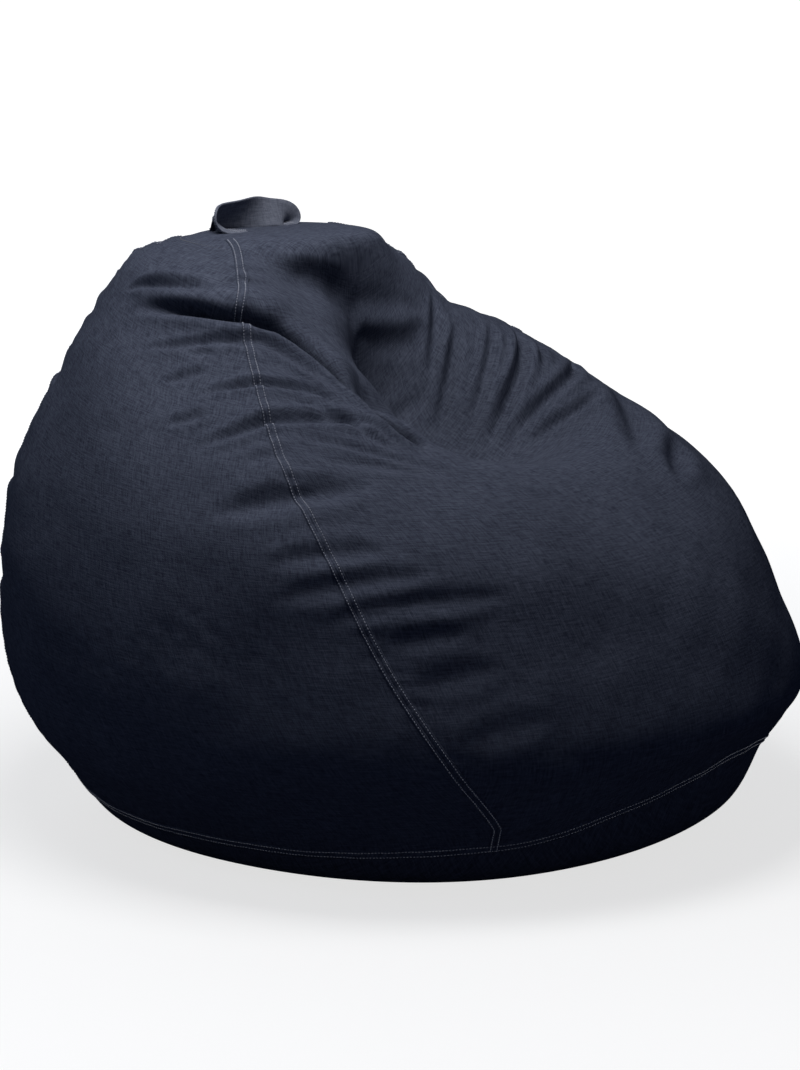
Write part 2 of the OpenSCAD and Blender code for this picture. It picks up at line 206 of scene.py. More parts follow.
def sample(grid, u, level):
    """A grid's values at any columns and levels, by bilinear reading."""
    x, y = np.asarray(u, float) % 360 * COLUMNS / 360, np.clip(row_of(level), 0, len(grid) - 1.001)
    i, j = np.floor(y).astype(int), np.floor(x).astype(int)
    s, t = (y - i)[..., None], (x - j)[..., None]
    j, k = j % COLUMNS, (j + 1) % COLUMNS
    low = grid[i, j] * (1 - t) + grid[i, k] * t
    high = grid[i + 1, j] * (1 - t) + grid[i + 1, k] * t
    return low * (1 - s) + high * s


# ---- Folds ----
class Relief:
    """Height of the cloth over the smooth skin, gathered fold by fold."""

    def __init__(self):
        self.height = np.zeros(BASE.shape[:2])
        self.slide = np.zeros(BASE.shape)

    def near(self, path, width, reach):
        """Distance, side and place along a path, for the grid points near it."""
        box_lo, box_hi = path.min(0) - reach * width, path.max(0) + reach * width
        inside = np.all((BASE > box_lo) & (BASE < box_hi), axis=-1)
        where = np.nonzero(inside)
        p = BASE[where]
        best, towards = np.full(len(p), 1e9), np.zeros((len(p), 3))
        side, place = np.zeros(len(p)), np.zeros(len(p))
        steps = np.diff(path, axis=0)
        lengths = np.linalg.norm(steps, axis=1)
        start = np.concatenate([[0], np.cumsum(lengths)])
        n = NORMALS[where]
        for a, step, length, s in zip(path, steps, lengths, start):
            rel = p - a
            t = np.clip(rel @ step / length ** 2, 0, 1)
            off = rel - t[:, None] * step
            d = np.linalg.norm(off, axis=1)
            nearer = d < best
            best = np.where(nearer, d, best)
            towards = np.where(nearer[:, None], -off, towards)
            cross = np.einsum("ij,ij->i", np.cross(step / length, off), n)
            side = np.where(nearer, np.sign(cross), side)
            place = np.where(nearer, (s + t * length) / start[-1], place)
        return where, best, side, place, towards / np.maximum(best, 1e-9)[:, None]

    def fold(self, keys, width, depth, left=0.35, right=0.35, taper=0.35, sharp=2.0, roll=0):
        """A crease along keys, [(u, level), ...]: its width and depth in millimetres, and
        the share of the depth that the cloth bulges on its left and right. With a roll, the
        cloth on its left slides over the crease by that many millimetres. It thins out and
        ends over a share of its length, which may differ at its two ends."""
        keys = np.array(keys, float)
        keys[:, 0] = np.unwrap(keys[:, 0], period=360)
        t = np.linspace(0, len(keys) - 1, 12 * (len(keys) - 1) + 1)
        line = [np.interp(t, np.arange(len(keys)), keys[:, c]) for c in (0, 1)]
        line = [np.convolve(np.pad(c, 6, mode="edge"), np.ones(13) / 13, "valid") for c in line]
        path = sample(BASE, line[0], line[1])
        width, depth = width * MM, depth * MM
        where, d, side, place, towards = self.near(path, width, 5.0)
        first, last = np.broadcast_to(taper, 2)
        fade = np.clip(np.minimum(place / first, (1 - place) / last), 0, 1)
        fade = fade * fade * (3 - 2 * fade)
        width = width * (0.5 + 0.5 * fade)
        beyond = (place <= 0) | (place >= 1)
        share = np.where(side > 0, left, right)
        groove = -np.exp(-(d / width) ** sharp)
        swell = share * np.exp(-((d / width - 1.9) / 0.95) ** 2)
        amount = depth * (groove + swell) * fade
        self.height[where] += np.where(beyond, 0, amount)
        if roll:
            over = np.exp(-((d / width - 1.5) / 0.75) ** 2) * fade * (side > 0) * ~beyond
            self.slide[where] += towards * (over * roll * MM)[:, None]


def value_noise(seed, size, count):
    """Smooth seeded noise on the skin's grid, from waves of about one size in metres."""
    rng = np.random.default_rng(seed)
    total = np.zeros(BASE.shape[:2])
    for _ in range(count):
        direction = rng.normal(size=3)
        direction /= np.linalg.norm(direction)
        k = 2 * math.pi / (size * rng.uniform(0.7, 1.5))
        warp = 0.35 * np.sin(BASE @ (rng.normal(size=3) * 9) + rng.uniform(0, 6))
        total += np.sin(BASE @ direction * k + warp * 3 + rng.uniform(0, 2 * math.pi))
    return total / math.sqrt(count)


relief = Relief()
# The head rolls over a deep crease that runs from the right side into the seat
HEAD_CREASE = [(262, 6.0), (275, 6.3), (288, 6.5), (300, 6.65), (312, 6.7), (319, 6.72),
               (324, 6.6), (328, 6.35), (331, 6.0), (333, 5.6), (336, 5.3)]
relief.fold(HEAD_CREASE, 14, 40, left=0.3, right=0.26, taper=(0.42, 0.13), sharp=2.1, roll=24)
relief.fold([(308, 7.05), (316, 7.06), (322, 7.0), (326, 6.85)], 17, -10, 0, 0, 0.4)
relief.fold([(360 - u, v) for u, v in HEAD_CREASE[:4]], 12, 10, 0.35, 0.2, taper=0.4)
relief.fold([(331, 6.5), (337, 6.1), (342, 5.65), (348, 5.2)], 28, 34, 0, 0.1, 0.3)
# The far shoulder of the seat sags
relief.fold([(36, 7.25), (42, 6.75), (47, 6.2), (49, 5.7)], 42, 20, 0, 0, 0.35)
# Folds on the near side: (keys, width, depth, bulge on the left, bulge on the right)
NEAR_FOLDS = [
    ([(256, 6.22), (264, 6.45), (274, 6.68), (287, 6.85), (302, 6.97), (312, 6.95)], 7, 6, 0.5, 0.3),
    ([(272, 5.65), (291, 6.02), (306, 6.25), (314, 6.32), (320, 6.2)], 6, 4, 0.3, 0.5),
    ([(303, 6.2), (310, 6.3), (316, 6.38), (321, 6.3), (326, 6.0), (330, 5.5)], 5.5, 5, 0.4, 0.5),
    ([(286, 5.45), (294, 5.68), (304, 5.88)], 6, 3.5, 0.4, 0.4),
    ([(292, 5.35), (303, 5.62), (312, 5.78), (318, 5.85), (324, 5.88), (329, 5.6)], 6, 5.5, .45, .5),
    ([(318, 6.1), (324, 5.95), (328, 5.72), (331, 5.4)], 5, 4, 0.4, 0.5),
    ([(293, 4.8), (300, 5.0), (307, 5.18), (314, 5.38), (320, 5.5), (327, 5.58), (332, 5.4)],
     7.5, 6, 0.45, 0.5),
    ([(317, 6.08), (324, 5.86), (329, 5.52), (333, 5.15)], 4, 3, 0.4, 0.5),
    ([(314, 5.66), (322, 5.7), (328, 5.42), (333, 5.05)], 4, 2.6, 0.4, 0.5),
    ([(315, 5.22), (323, 5.3), (331, 5.14), (339, 4.98)], 5, 3, 0.4, 0.5),
    ([(318, 5.04), (325, 5.08), (332, 5.04), (339, 4.94)], 6, 2, 0.4, 0.5),
    ([(290, 5.9), (298, 6.0), (306, 6.06)], 4.5, 2.2, 0.4, 0.4),
    ([(288, 5.02), (296, 5.2), (304, 5.42)], 6, 3.5, 0.4, 0.4),
    ([(303, 4.75), (311, 4.95), (320, 5.1)], 8, 2.2, 0.4, 0.4),
    ([(294, 4.2), (306, 4.45), (314, 4.58), (320, 4.74), (326, 4.84)], 14, 6.5, .4, .4),
    ([(302, 3.85), (309, 3.97), (315, 4.03), (319, 4.1), (323, 4.1)], 10, 3, 0.4, 0.4),
    ([(299, 3.5), (307, 3.66), (314, 3.74), (321, 3.84), (327, 3.86)], 10, 2.4, 0.4, 0.4),
    ([(306, 3.3), (312, 3.46), (319, 3.6), (327, 3.65), (334, 3.64)], 10, 2.6, 0.4, 0.5),
    ([(315, 3.22), (320, 3.3), (327, 3.35)], 9, 2, 0.4, 0.4),
    ([(315, 2.83), (321, 2.94), (329, 3.04)], 11, 1.8, 0.4, 0.4),
    ([(316, 2.28), (323, 2.4), (331, 2.52)], 13, 1.6, 0.4, 0.4),
    ([(315, 1.42), (323, 1.46), (332, 1.52)], 15, 2.4, 0.4, 0.4),
]
# Folds across the far wall of the seat and over its rim
FAR_FOLDS = [
    ([(36, 6.95), (28, 6.85), (21, 6.75), (12, 6.5)], 7, 6, 0.4, 0.5),
    ([(31, 6.66), (22, 6.6), (13, 6.45), (5, 6.3)], 7, 9, 0.4, 0.5),
    ([(38, 6.3), (28, 6.35), (18, 6.3), (7, 6.15)], 5.5, 7, 0.5, 0.5),
    ([(44, 5.95), (34, 6.03), (24, 6.1), (14, 6.08), (6, 6.0)], 7.5, 11, 0.5, 0.5),
    ([(43, 5.3), (34, 5.5), (25, 5.72), (17, 5.88), (9, 5.92)], 7, 9, 0.5, 0.5),
    ([(30, 5.32), (22, 5.5), (15, 5.7), (8, 5.8)], 6, 7, 0.45, 0.5),
    ([(40, 5.75), (32, 5.85), (24, 5.95)], 4.5, 4, 0.45, 0.5),
    ([(34, 6.18), (26, 6.22), (18, 6.2)], 4, 3.5, 0.45, 0.5),
    ([(38, 5.1), (30, 5.12), (21, 5.04), (10, 4.8)], 18, 11, 0.4, 0.4),
    ([(26, 4.72), (18, 4.6), (10, 4.38)], 14, 8, 0.4, 0.4),
    ([(352, 7.2), (2, 7.55), (12, 7.35), (20, 7.08), (27, 6.9)], 14, -6, 0.3, 0.3),
    ([(335, 6.6), (345, 6.75), (358, 6.7), (10, 6.62), (20, 6.55)], 10, 4, 0.3, 0.4),
    ([(8, 6.25), (355, 6.2), (345, 6.3)], 9, 5, 0.3, 0.3),
    ([(318, 7.66), (332, 7.7), (346, 7.7), (2, 7.6)], 27, 14, 0.15, 0.1),
]
# The same kinds of fold where no photograph shows the bag
HIDDEN_FOLDS = [
    ([(30, 5.3), (40, 5.55), (50, 5.6), (62, 5.35), (75, 5.0)], 8, 8, 0.45, 0.45),
    ([(36, 4.7), (45, 4.85), (56, 4.75), (66, 4.5)], 10, 7, 0.4, 0.4),
    ([(40, 6.2), (52, 6.35), (66, 6.3), (82, 6.0), (96, 5.7)], 8, 8, 0.4, 0.4),
    ([(35, 4.1), (45, 4.2), (55, 4.05)], 10, 5, 0.4, 0.4),
    ([(38, 3.5), (45, 3.6), (54, 3.5)], 10, 4, 0.4, 0.4),
    ([(40, 2.7), (45, 2.8), (52, 2.75)], 10, 3, 0.4, 0.4),
    ([(112, 6.2), (126, 6.4), (140, 6.45), (155, 6.3), (170, 6.1)], 9, 8, 0.4, 0.4),
    ([(120, 5.6), (132, 5.75), (146, 5.7)], 9, 5, 0.4, 0.4),
    ([(122, 4.8), (135, 4.95), (150, 4.8)], 10, 5, 0.4, 0.4),
    ([(125, 3.8), (135, 3.9), (147, 3.85)], 10, 4, 0.4, 0.4),
    ([(190, 6.3), (204, 6.5), (220, 6.55), (232, 6.45), (240, 6.3)], 8, 5, 0.4, 0.4),
    ([(212, 5.5), (226, 5.7), (242, 5.6)], 9, 5, 0.4, 0.4),
    ([(214, 4.7), (226, 4.85), (238, 4.7)], 10, 5, 0.4, 0.4),
    ([(216, 3.7), (225, 3.85), (236, 3.8)], 10, 4, 0.4, 0.4),
    ([(218, 2.9), (225, 3.0), (233, 2.95)], 10, 3, 0.4, 0.4),
    ([(165, 7.2), (180, 7.3), (196, 7.2)], 10, 4, 0.4, 0.4),
]
NEAR_DEPTH = 1.3   # the near folds are all this much deeper than listed
for keys, width, depth, left, right in NEAR_FOLDS:
    relief.fold(keys, width, NEAR_DEPTH * depth, left, right)
for keys, width, depth, left, right in FAR_FOLDS + HIDDEN_FOLDS:
    relief.fold(keys, width, depth, left, right)


def seam_puckers():
    """Small tucks across the upright seams, strongest where the cloth gathers."""
    rng = np.random.default_rng(7)
    for seam in (NEAR_SEAM, FAR_SEAM) + BACK_SEAMS:
        level = 1.2
        while level < 7.6:
            reach = rng.uniform(0.028, 0.06)
            here = sample(BASE, [seam, seam + 1], [level, level])
            per_degree = np.linalg.norm(here[1] - here[0])
            spread = reach / per_degree
            tilt = rng.uniform(-0.05, 0.12)
            shift = rng.uniform(-0.4, 0.4) * spread
            keys = [(seam + shift - spread, level - tilt), (seam + shift, level),
                    (seam + shift + spread, level + tilt)]
            gather = 0.35 + 0.65 * quiet(level, 3.2, 5.2)
            relief.fold(keys, rng.uniform(3.2, 6.5), gather * rng.uniform(0.5, 1.9), .5, .5, .5)
            level += rng.uniform(0.07, 0.26)


seam_puckers()
relief.height += 2.2 * MM * value_noise(3, 0.20, 9) + 0.8 * MM * value_noise(4, 0.07, 12)
fine = value_noise(5, 0.028, 16) * np.clip(value_noise(6, 0.16, 8), 0, 1.2)
relief.height += 0.35 * MM * fine


grid_level, grid_u = np.meshgrid(LEVELS, U, indexing="ij")
relief.height *= quiet(grid_level, -0.6, 0.7) * (1 - 0.9 * quiet(grid_level, 7.75, 8.2))
zip_side = quiet(grid_u, 118, 132) * (1 - quiet(grid_u, 228, 242))
relief.height *= 1 - zip_side * (1 - quiet(grid_level, 1.05, 1.6))
HEIGHT = relief.height
SKIN = BASE + NORMALS * HEIGHT[..., None] + blur(relief.slide, 3)
SKIN_NORMALS = grid_normals(SKIN)
SKIN_NORMALS[0] = (0, 0, -1)
SKIN_NORMALS[-1] = (0, 0, 1)


def eroded(height, reach):
    """The lowest height within reach of each grid point, so that what lies under the
    cloth never comes through its folds."""
    for _ in range(reach):
        height = np.minimum(height, np.minimum(np.roll(height, 1, 1), np.roll(height, -1, 1)))
        up = np.concatenate([height[1:], height[-1:]])
        down = np.concatenate([height[:1], height[:-1]])
        height = np.minimum(height, np.minimum(up, down))
    return height


def room(depth):
    """Extra depth of the inner layers behind the zips, as in the CAD."""
    at_zip = quiet(grid_level, -1.3, -0.2) * (1 - quiet(grid_level, 1.0, 2.0))
    return depth + at_zip * 0.0115


INNER = blur(eroded(HEIGHT, 4), 3)


# ---- Meshes ----
def new_object(name, points, faces, smooth=True):
    mesh = bpy.data.meshes.new(name)
    mesh.from_pydata([tuple(map(float, p)) for p in points], [], faces)
    mesh.validate()
    mesh.polygons.foreach_set("use_smooth", [smooth] * len(mesh.polygons))
    obj = bpy.data.objects.new(name, mesh)
    bpy.context.scene.collection.objects.link(obj)
    return obj


def grid_faces(rows, cols, closed):
    """Quads of a grid of points, outward for rows going up and columns going left."""
    a = np.arange((rows - 1) * cols).reshape(rows - 1, cols)
    if closed:
        right = np.roll(a, -1, 1)
    else:
        a, right = a[:, :-1], a[:, 1:]
    return np.stack([a, right, right + cols, a + cols], -1).reshape(-1, 4)


def border(rows, cols):
    """Indices round the rim of a grid, back to the first."""
    a = np.arange(rows * cols).reshape(rows, cols)
    return np.concatenate([a[0], a[1:, -1], a[-1, -2::-1], a[-2::-1, 0]]).tolist()


def add_uvs(obj, coords):
    """A UV map in metres along the cloth's threads, from one pair for each vertex."""
    layer = obj.data.uv_layers.new(name="cloth")
    corner = np.empty(len(obj.data.loops), int)
    obj.data.loops.foreach_get("vertex_index", corner)
    layer.data.foreach_set("uv", np.asarray(coords)[corner].astype(float).ravel())


def cloth_coordinates(outer):
    """Distance along the threads for each point of a grid of rows and columns."""
    across = np.linalg.norm(np.diff(outer, axis=1), axis=-1)
    across = np.concatenate([np.zeros((len(outer), 1)), np.cumsum(across, 1)], 1)
    across -= across[:, -1:] / 2
    middle = outer[:, outer.shape[1] // 2]
    along = np.concatenate([[0], np.cumsum(np.linalg.norm(np.diff(middle, axis=0), axis=-1))])
    return np.stack([across, np.repeat(along[:, None], outer.shape[1], 1)], -1).reshape(-1, 2)


def shade_with(obj, normals):
    """Shade a two-sided sheet with the skin's own normals, so that panels meet smoothly."""
    n = normals.reshape(-1, 3)
    obj.data.normals_split_custom_set_from_vertices(np.concatenate([n, -n]).tolist())


def thin_sheet(name, outer, inner):
    """A thin solid between two grids of points that don't run all the way round."""
    rows, cols = outer.shape[:2]
    n = rows * cols
    top = grid_faces(rows, cols, False)
    faces = np.concatenate([top, top[:, ::-1] + n]).tolist()
    rim = border(rows, cols)
    faces += [[b, a, a + n, b + n] for a, b in zip(rim[:-1], rim[1:])]
    points = np.concatenate([outer.reshape(-1, 3), inner.reshape(-1, 3)])
    obj = new_object(name, points, faces)
    uv = cloth_coordinates(outer)
    add_uvs(obj, np.concatenate([uv, uv]))
    return obj


def span(u_from, u_to, level_from, level_to, step=1):
    """Row and column indices of a part of the skin."""
    first, last = (int(round(u * COLUMNS / 360)) for u in (u_from, u_to))
    rows = np.arange(int(row_of(level_from)), int(row_of(level_to)) + 1, step)
    return np.ix_(rows, np.arange(first, last + 1, step) % COLUMNS)


def shell(height, depth):
    """The skin at a height over the smooth skin, less a depth."""
    return BASE + NORMALS * (height - depth)[..., None]


def finish_piece(obj, material, body, nodes=()):
    obj.data.materials.clear()
    obj.data.materials.append(material)
    if body:
        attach(obj, body)
    if nodes:
        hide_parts(*nodes)
    return obj


# ---- Materials ----
class Nodes:
    """Short calls for building a node material."""

    def __init__(self, name):
        self.material = bpy.data.materials.new(name)
        self.material.use_nodes = True
        self.tree = self.material.node_tree
        self.shader = self.tree.nodes["Principled BSDF"]

    def add(self, kind, inputs=None, **settings):
        node = self.tree.nodes.new(kind)
        for key, value in settings.items():
            setattr(node, key, value)
        for key, value in (inputs or {}).items():
            socket = node.inputs[key]
            if isinstance(value, bpy.types.NodeSocket):
                self.tree.links.new(value, socket)
            else:
                socket.default_value = value
        return node

    def math(self, operation, a, b=0.0, clamp=False):
        return self.add("ShaderNodeMath", {0: a, 1: b}, operation=operation,
                        use_clamp=clamp).outputs[0]

    def noise(self, vector, scale, detail=2.0, rough=0.5):
        return self.add("ShaderNodeTexNoise", {
            "Vector": vector, "Scale": scale, "Detail": detail, "Roughness": rough,
        }).outputs["Fac"]

    def stretch(self, vector, scale, shift=(0, 0, 0)):
        return self.add("ShaderNodeMapping", {
            "Vector": vector, "Scale": scale, "Location": shift,
        }).outputs[0]

    def remap(self, value, low, high, to_low, to_high):
        return self.add("ShaderNodeMapRange", {
            "Value": value, "From Min": low, "From Max": high, "To Min": to_low, "To Max": to_high,
        }).outputs[0]

    def mix(self, factor, a, b):
        node = self.add("ShaderNodeMix", {0: factor}, data_type="RGBA")
        for socket, value in ((node.inputs[6], a), (node.inputs[7], b)):
            if isinstance(value, bpy.types.NodeSocket):
                self.tree.links.new(value, socket)
            else:
                socket.default_value = (*value, 1)
        return node.outputs[2]

    def surface(self, colour, roughness, height=None, distance=0.0005, strength=1.0, **fixed):
        links = self.tree.links
        links.new(colour, self.shader.inputs["Base Color"])
        links.new(roughness, self.shader.inputs["Roughness"])
        if height is not None:
            bump = self.add("ShaderNodeBump", {
                "Height": height, "Distance": distance, "Strength": strength})
            links.new(bump.outputs[0], self.shader.inputs["Normal"])
        for key, value in fixed.items():
            self.shader.inputs[key.replace("_", " ")].default_value = value
        return self.material

    def uv(self):
        return self.add("ShaderNodeUVMap", uv_map="cloth").outputs[0]

    def place(self):
        return self.add("ShaderNodeTexCoord").outputs["Object"]


def woven(name, dark, mid, light, pitch=0.0011, slub=0.6, bump=0.00025):
    """Melange cloth: crossed slub streaks over a plain weave."""
    n = Nodes(name)
    uv = n.uv()
    # streaks along the warp and the weft: thin one way, long the other
    warp = n.noise(n.stretch(uv, (760, 150, 1)), 1.0, 3.0, 0.6)
    weft = n.noise(n.stretch(uv, (140, 700, 1), shift=(3, 7, 0)), 1.0, 3.0, 0.6)
    long_warp = n.noise(n.stretch(uv, (480, 46, 1), shift=(9, 2, 0)), 1.0, 2.0, 0.5)
    long_weft = n.noise(n.stretch(uv, (42, 450, 1), shift=(5, 1, 0)), 1.0, 2.0, 0.5)
    blotch = n.noise(n.place(), 7.0, 3.0, 0.55)
    streaks = n.math("ADD", n.math("ADD", warp, weft), n.math("ADD", long_warp, long_weft))
    streaks = n.remap(streaks, 1.62, 2.38, 0.0, 1.0)
    tone = n.mix(streaks, dark, light)
    tone = n.mix(n.math("SUBTRACT", 1.0, slub), tone, mid)
    tone = n.mix(n.remap(blotch, 0.3, 0.75, 0.0, 0.22), tone, dark)
    # the weave's own relief
    threads = n.stretch(uv, (1 / pitch, 1 / pitch, 1))
    split = n.add("ShaderNodeSeparateXYZ", {0: threads})
    over = n.math("SINE", n.math("MULTIPLY", split.outputs[0], math.pi))
    under = n.math("SINE", n.math("MULTIPLY", split.outputs[1], math.pi))
    weave = n.math("MULTIPLY", over, under)
    relief_height = n.math("ADD", n.math("MULTIPLY", weave, 0.35), streaks)
    rough = n.remap(streaks, 0.0, 1.0, 0.86, 0.72)
    n.surface(tone, rough, relief_height, bump, 0.8, Specular_IOR_Level=0.0)
    return n.material


def twisted(name, dark, light):
    """Sewing thread with its twist and shine."""
    n = Nodes(name)
    place = n.place()
    grain = n.noise(n.stretch(place, (900, 900, 900)), 1.0, 2.0)
    ply = n.add("ShaderNodeTexWave", {"Vector": place, "Scale": 260.0, "Distortion": 1.5},
                bands_direction="DIAGONAL").outputs["Fac"]
    tone = n.mix(n.math("MULTIPLY", ply, grain), dark, light)
    return n.surface(tone, n.remap(grain, 0.2, 0.8, 0.45, 0.7), ply, 0.0002, 0.6)


def brushed(name, dark, light, metallic):
    """Cast zip metal with fine scratches."""
    n = Nodes(name)
    place = n.place()
    scratch = n.noise(n.stretch(place, (1200, 180, 180)), 1.0, 4.0, 0.7)
    cloud = n.noise(place, 160.0, 2.0)
    tone = n.mix(n.remap(scratch, 0.3, 0.7, 0.0, 1.0), dark, light)
    rough = n.math("ADD", n.math("MULTIPLY", cloud, 0.25), 0.25)
    return n.surface(tone, rough, scratch, 0.00005, 0.4, Metallic=metallic)


def ribbed(name, dark, light, per_metre, rough=0.7):
    """Zip tape or plain liner cloth with a fine rib, wherever it lies."""
    n = Nodes(name)
    place = n.place()
    rib = n.add("ShaderNodeTexWave", {"Vector": place, "Scale": per_metre, "Distortion": 0.6},
                bands_direction="Z").outputs["Fac"]
    grain = n.noise(place, 700.0, 3.0)
    tone = n.mix(n.math("MULTIPLY", n.math("ADD", rib, grain), 0.5), dark, light)
    return n.surface(tone, n.remap(grain, 0.2, 0.8, rough, rough + 0.15), rib, 0.0002, 0.6,
                     Specular_IOR_Level=0.05)


def foam_beads(name):
    """Polystyrene beads packed against the liner."""
    n = Nodes(name)
    cells = n.add("ShaderNodeTexVoronoi", {"Vector": n.place(), "Scale": 240.0})
    # darker toward each bead's rim: painted shade in the gaps between the beads; the same values
    # also give the beads' bump
    shade = n.remap(cells.outputs["Distance"], 0.1, 0.75, 1.0, 0.0)
    tone = n.mix(shade, (0.55, 0.55, 0.53), (0.86, 0.86, 0.84))
    return n.surface(tone, n.remap(shade, 0, 1, 0.75, 0.5), shade, 0.0015, 1.0)


COVER = woven("cover_weave", (0.022, 0.0255, 0.040), (0.052, 0.059, 0.084), (0.112, 0.125, 0.168))
# The strap's cloth is the cover's weave painted lighter: painted light for the strap, which sits on
# top of the bag and catches the most light.
STRAP = woven("strap_weave", (0.070, 0.076, 0.100), (0.130, 0.140, 0.180), (0.220, 0.235, 0.285))
LINER = woven("liner_weave", (0.60, 0.60, 0.57), (0.76, 0.76, 0.73), (0.84, 0.84, 0.82), 0.0009, 0.3)
THREAD = twisted("thread_twist", (0.14, 0.15, 0.19), (0.34, 0.36, 0.43))
DARK_THREAD = twisted("thread_tonal", (0.020, 0.023, 0.035), (0.060, 0.066, 0.090))
TAPE = ribbed("zip_tape_rib", (0.012, 0.013, 0.020), (0.045, 0.050, 0.070), 900.0)
COIL = ribbed("zip_coil_nylon", (0.02, 0.022, 0.03), (0.08, 0.085, 0.11), 500.0, 0.4)
METAL = brushed("zip_slider_metal", (0.30, 0.30, 0.31), (0.58, 0.58, 0.60), 1.0)
BEADS = foam_beads("bead_foam")


# ---- Cover ----
def wall_panel(name, u_from, u_to, level_from):
    where = span(u_from, u_to, level_from, CROWN_LEVEL)
    outer = SKIN[where]
    inner = outer - SKIN_NORMALS[where] * FABRIC_T
    obj = thin_sheet(name, outer, inner)
    shade_with(obj, SKIN_NORMALS[where])
    finish_piece(obj, COVER, "cover", [name.replace("cover_", "") + "_panel"])
    return obj


def round_panel(name, level_from, level_to, centre, node, height, depth, thickness,
                material, step=1):
    """A panel that closes the bag above or below: rings that shrink into one middle."""
    where = span(0, 360 - 360 / COLUMNS * step, level_from, level_to, step)
    rim = shell(height, depth)[where]
    if level_from < 0:
        rim = rim[::-1]
    rings = [rim]
    shares = np.linspace(0.97, 0.03, 22)
    last = rim[-1]
    rings.append(np.array([centre + (last - centre) * s for s in shares]))
    outer = np.concatenate(rings)
    up = 1 if level_from > 0 else -1
    normals = grid_normals(outer) * (1 if up > 0 else -1)
    normals[len(rim) - 1:] = (0, 0, up)
    inner = outer - normals * thickness
    if up < 0:
        inner[len(rim) - 1:] = outer[len(rim) - 1:] + (0, 0, thickness)
    rows, cols = outer.shape[:2]
    n = rows * cols
    top = grid_faces(rows, cols, True)
    if up < 0:
        top = top[:, ::-1]
    faces = np.concatenate([top, top[:, ::-1] + n]).tolist()
    first = np.append(np.arange(cols), 0)
    final = first + n - cols
    rim_faces = [[b, a, a + n, b + n] for a, b in zip(first[:-1].tolist(), first[1:].tolist())]
    if up < 0:
        rim_faces = [f[::-1] for f in rim_faces]
    faces += rim_faces
    caps = [final[:-1].tolist(), (final[:-1] + n)[::-1].tolist()]
    faces += caps if up > 0 else [c[::-1] for c in caps]
    points = np.concatenate([outer.reshape(-1, 3), inner.reshape(-1, 3)])
    obj = new_object(name, points, faces)
    if material is COVER:
        shaded = normals.copy()
        shaded[:len(rim)] = SKIN_NORMALS[where][::-1] if up < 0 else SKIN_NORMALS[where]
        shade_with(obj, shaded)
    flat = outer.reshape(-1, 3)[:, :2]
    add_uvs(obj, np.concatenate([flat, flat]))
    finish_piece(obj, material, "cover", [node])
    return obj


def cover():
    wall_panel("cover_front", -45, 45, SEAM_LEVEL)
    wall_panel("cover_left", 45, 135, SEAM_LEVEL)
    wall_panel("cover_back", 135, 225, STRIP_LEVEL)
    wall_panel("cover_right", 225, 315, SEAM_LEVEL)
    top = np.array([0, CROWN_Y, BAG_H])
    round_panel("cover_crown", CROWN_LEVEL, TOP_LEVEL, top, "crown_panel", HEIGHT, 0, FABRIC_T,
                COVER)
    round_panel("cover_base", FLAT_LEVEL, SEAM_LEVEL, np.zeros(3), "base_panel", HEIGHT, 0,
                FABRIC_T, COVER)


# ---- Seam bands and topstitching ----
def on_skin(u, level):
    n = sample(SKIN_NORMALS, u, level)
    n /= np.linalg.norm(n, axis=-1, keepdims=True)
    return sample(SKIN, u, level), n


def seam_rail(u, level):
    """A rail along any path on the skin: offsets go across the path, along the skin."""
    p = sample(BASE, u, level)
    along_u = (sample(BASE, u + 0.5, level) - sample(BASE, u - 0.5, level))
    along_v = (sample(BASE, u, level + 0.02) - sample(BASE, u, level - 0.02)) / 0.04
    n = np.cross(along_u, along_v)
    side = np.cross(np.gradient(p, axis=0), n)
    side /= np.linalg.norm(side, axis=-1, keepdims=True)
    uu, vv = np.sum(along_u ** 2, -1), np.sum(along_v ** 2, -1)
    uv = np.sum(along_u * along_v, -1)
    su, sv = np.sum(side * along_u, -1), np.sum(side * along_v, -1)
    det = uu * vv - uv ** 2
    du, dv = (su * vv - sv * uv) / det, (sv * uu - su * uv) / det

    def rail(offset):
        return on_skin(u + du * offset, level + dv * offset)
    return rail


def strip_mesh(name, profile, rail):
    """A ribbon whose cross section is profile, [(offset, lift), ...], along a rail that
    gives the point and the normal for each offset."""
    rows = []
    for offset, lift in profile:
        p, n = rail(offset)
        rows.append(p + n * lift)
    rows.append(rows[0])
    grid = np.array(rows).transpose(1, 0, 2)
    n, m = grid.shape[0], grid.shape[1] - 1
    faces = []
    for i in range(n - 1):
        for j in range(m):
            k = (j + 1) % m
            faces.append([i * m + j, i * m + k, (i + 1) * m + k, (i + 1) * m + j])
    faces += [list(range(m))[::-1], [(n - 1) * m + j for j in range(m)]]
    obj = new_object(name, grid[:, :m].reshape(-1, 3), faces)
    add_uvs(obj, np.stack(np.meshgrid(
        np.linspace(0, 0.03, m), np.linspace(0, 0.9, n)), -1).reshape(-1, 2))
    return obj


GAUGE = 0.007           # between the two rows of a double needle
THREAD_LIFT = 0.0007    # of the stitches over a hem
STITCH_SIDES = 6        # round the thread
# Cross section of the flat-felled seam: across the seam, up from the cloth
BAND_PROFILE = [(-0.0058, -0.0012), (-0.0056, 0.0007), (-0.0044, 0.0013), (-0.0034, 0.0009),
                (-0.0022, 0.0014), (-0.0008, 0.0011), (0.0, 0.0002), (0.0008, 0.0011),
                (0.0022, 0.0014), (0.0034, 0.0009), (0.0044, 0.0013), (0.0056, 0.0007),
                (0.0058, -0.0012)]


